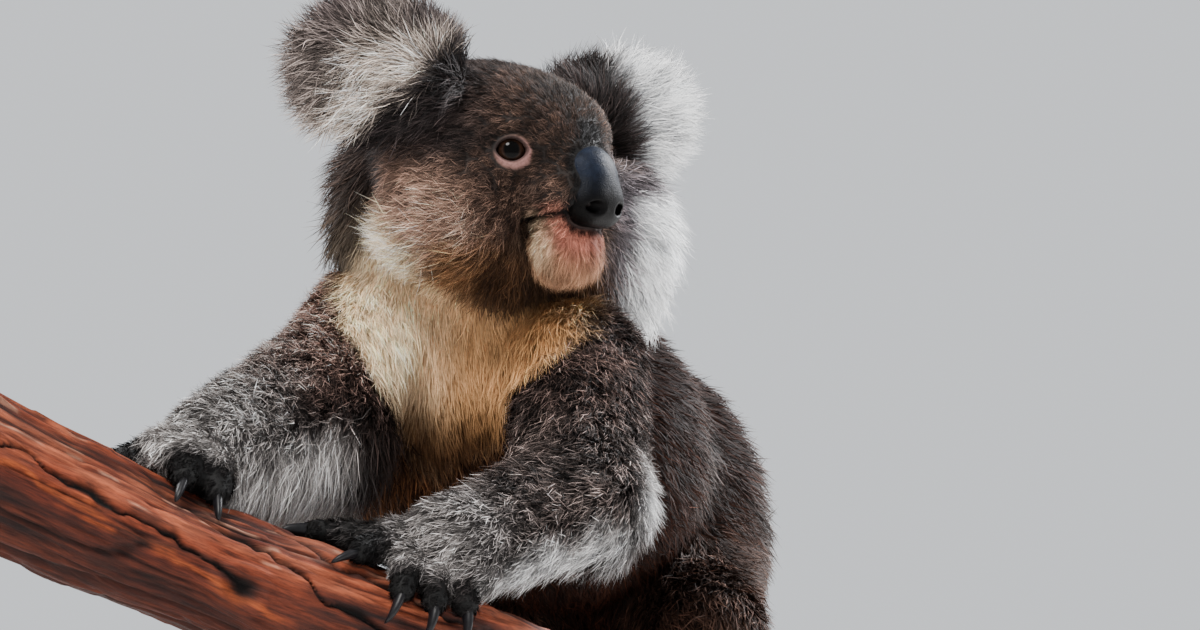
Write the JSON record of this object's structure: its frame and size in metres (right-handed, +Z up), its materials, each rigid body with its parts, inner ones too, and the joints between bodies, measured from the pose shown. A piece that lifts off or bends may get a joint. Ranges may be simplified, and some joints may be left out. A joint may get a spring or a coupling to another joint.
{
  "type": "koala model on a display stand",
  "caption": "Still life-size koala gripping a cut length of branch, held over a flat base on two short rods",
  "frame": {"origin": "middle of the underside of the display stand base", "axes": "+Z up; the chest of the animal faces -Y, its left side is +X, and its head is turned towards +X and -Y"},
  "size_m": [0.416, 0.483, 0.4563],
  "materials": {
    "coat": "short dense fur, grey-brown with light tips",
    "pale_coat": "long soft fur, cream to buff",
    "nose_skin": "black, finely stippled, satin",
    "eye": "dark brown, wet gloss",
    "claw": "black horn, satin",
    "bark": "reddish bark with long fissures",
    "stand_board": "dark stained board, satin",
    "stand_steel": "brushed"
  },
  "bodies": {
    "root": {"head": "coat", "ear_left": "coat", "ear_right": "coat", "loin": "coat", "rump": "coat", "upper_arm_left": "coat", "upper_arm_right": "coat", "forearm_left": "coat", "forearm_right": "coat", "hand_left": "coat", "hand_right": "coat", "thigh_left": "coat", "thigh_right": "coat", "shank_left": "coat", "shank_right": "coat", "foot_left": "coat", "foot_right": "coat", "neck": "pale_coat", "chest": "pale_coat", "nose": "nose_skin", "eye_left": "eye", "hand_left_claw_1": "claw", "hand_left_claw_2": "claw", "hand_left_claw_3": "claw", "hand_left_claw_4": "claw", "hand_left_claw_5": "claw", "foot_left_claw_2": "claw", "foot_left_claw_3": "claw", "foot_left_claw_4": "claw", "foot_left_claw_5": "claw", "eye_right": "eye", "hand_right_claw_1": "claw", "hand_right_claw_2": "claw", "hand_right_claw_3": "claw", "hand_right_claw_4": "claw", "hand_right_claw_5": "claw", "foot_right_claw_2": "claw", "foot_right_claw_3": "claw", "foot_right_claw_4": "claw", "foot_right_claw_5": "claw", "perch_branch": "bark", "stand_base": "stand_board", "stand_rod_front": "stand_steel", "stand_rod_back": "stand_steel"}
  },
  "joints": []
}
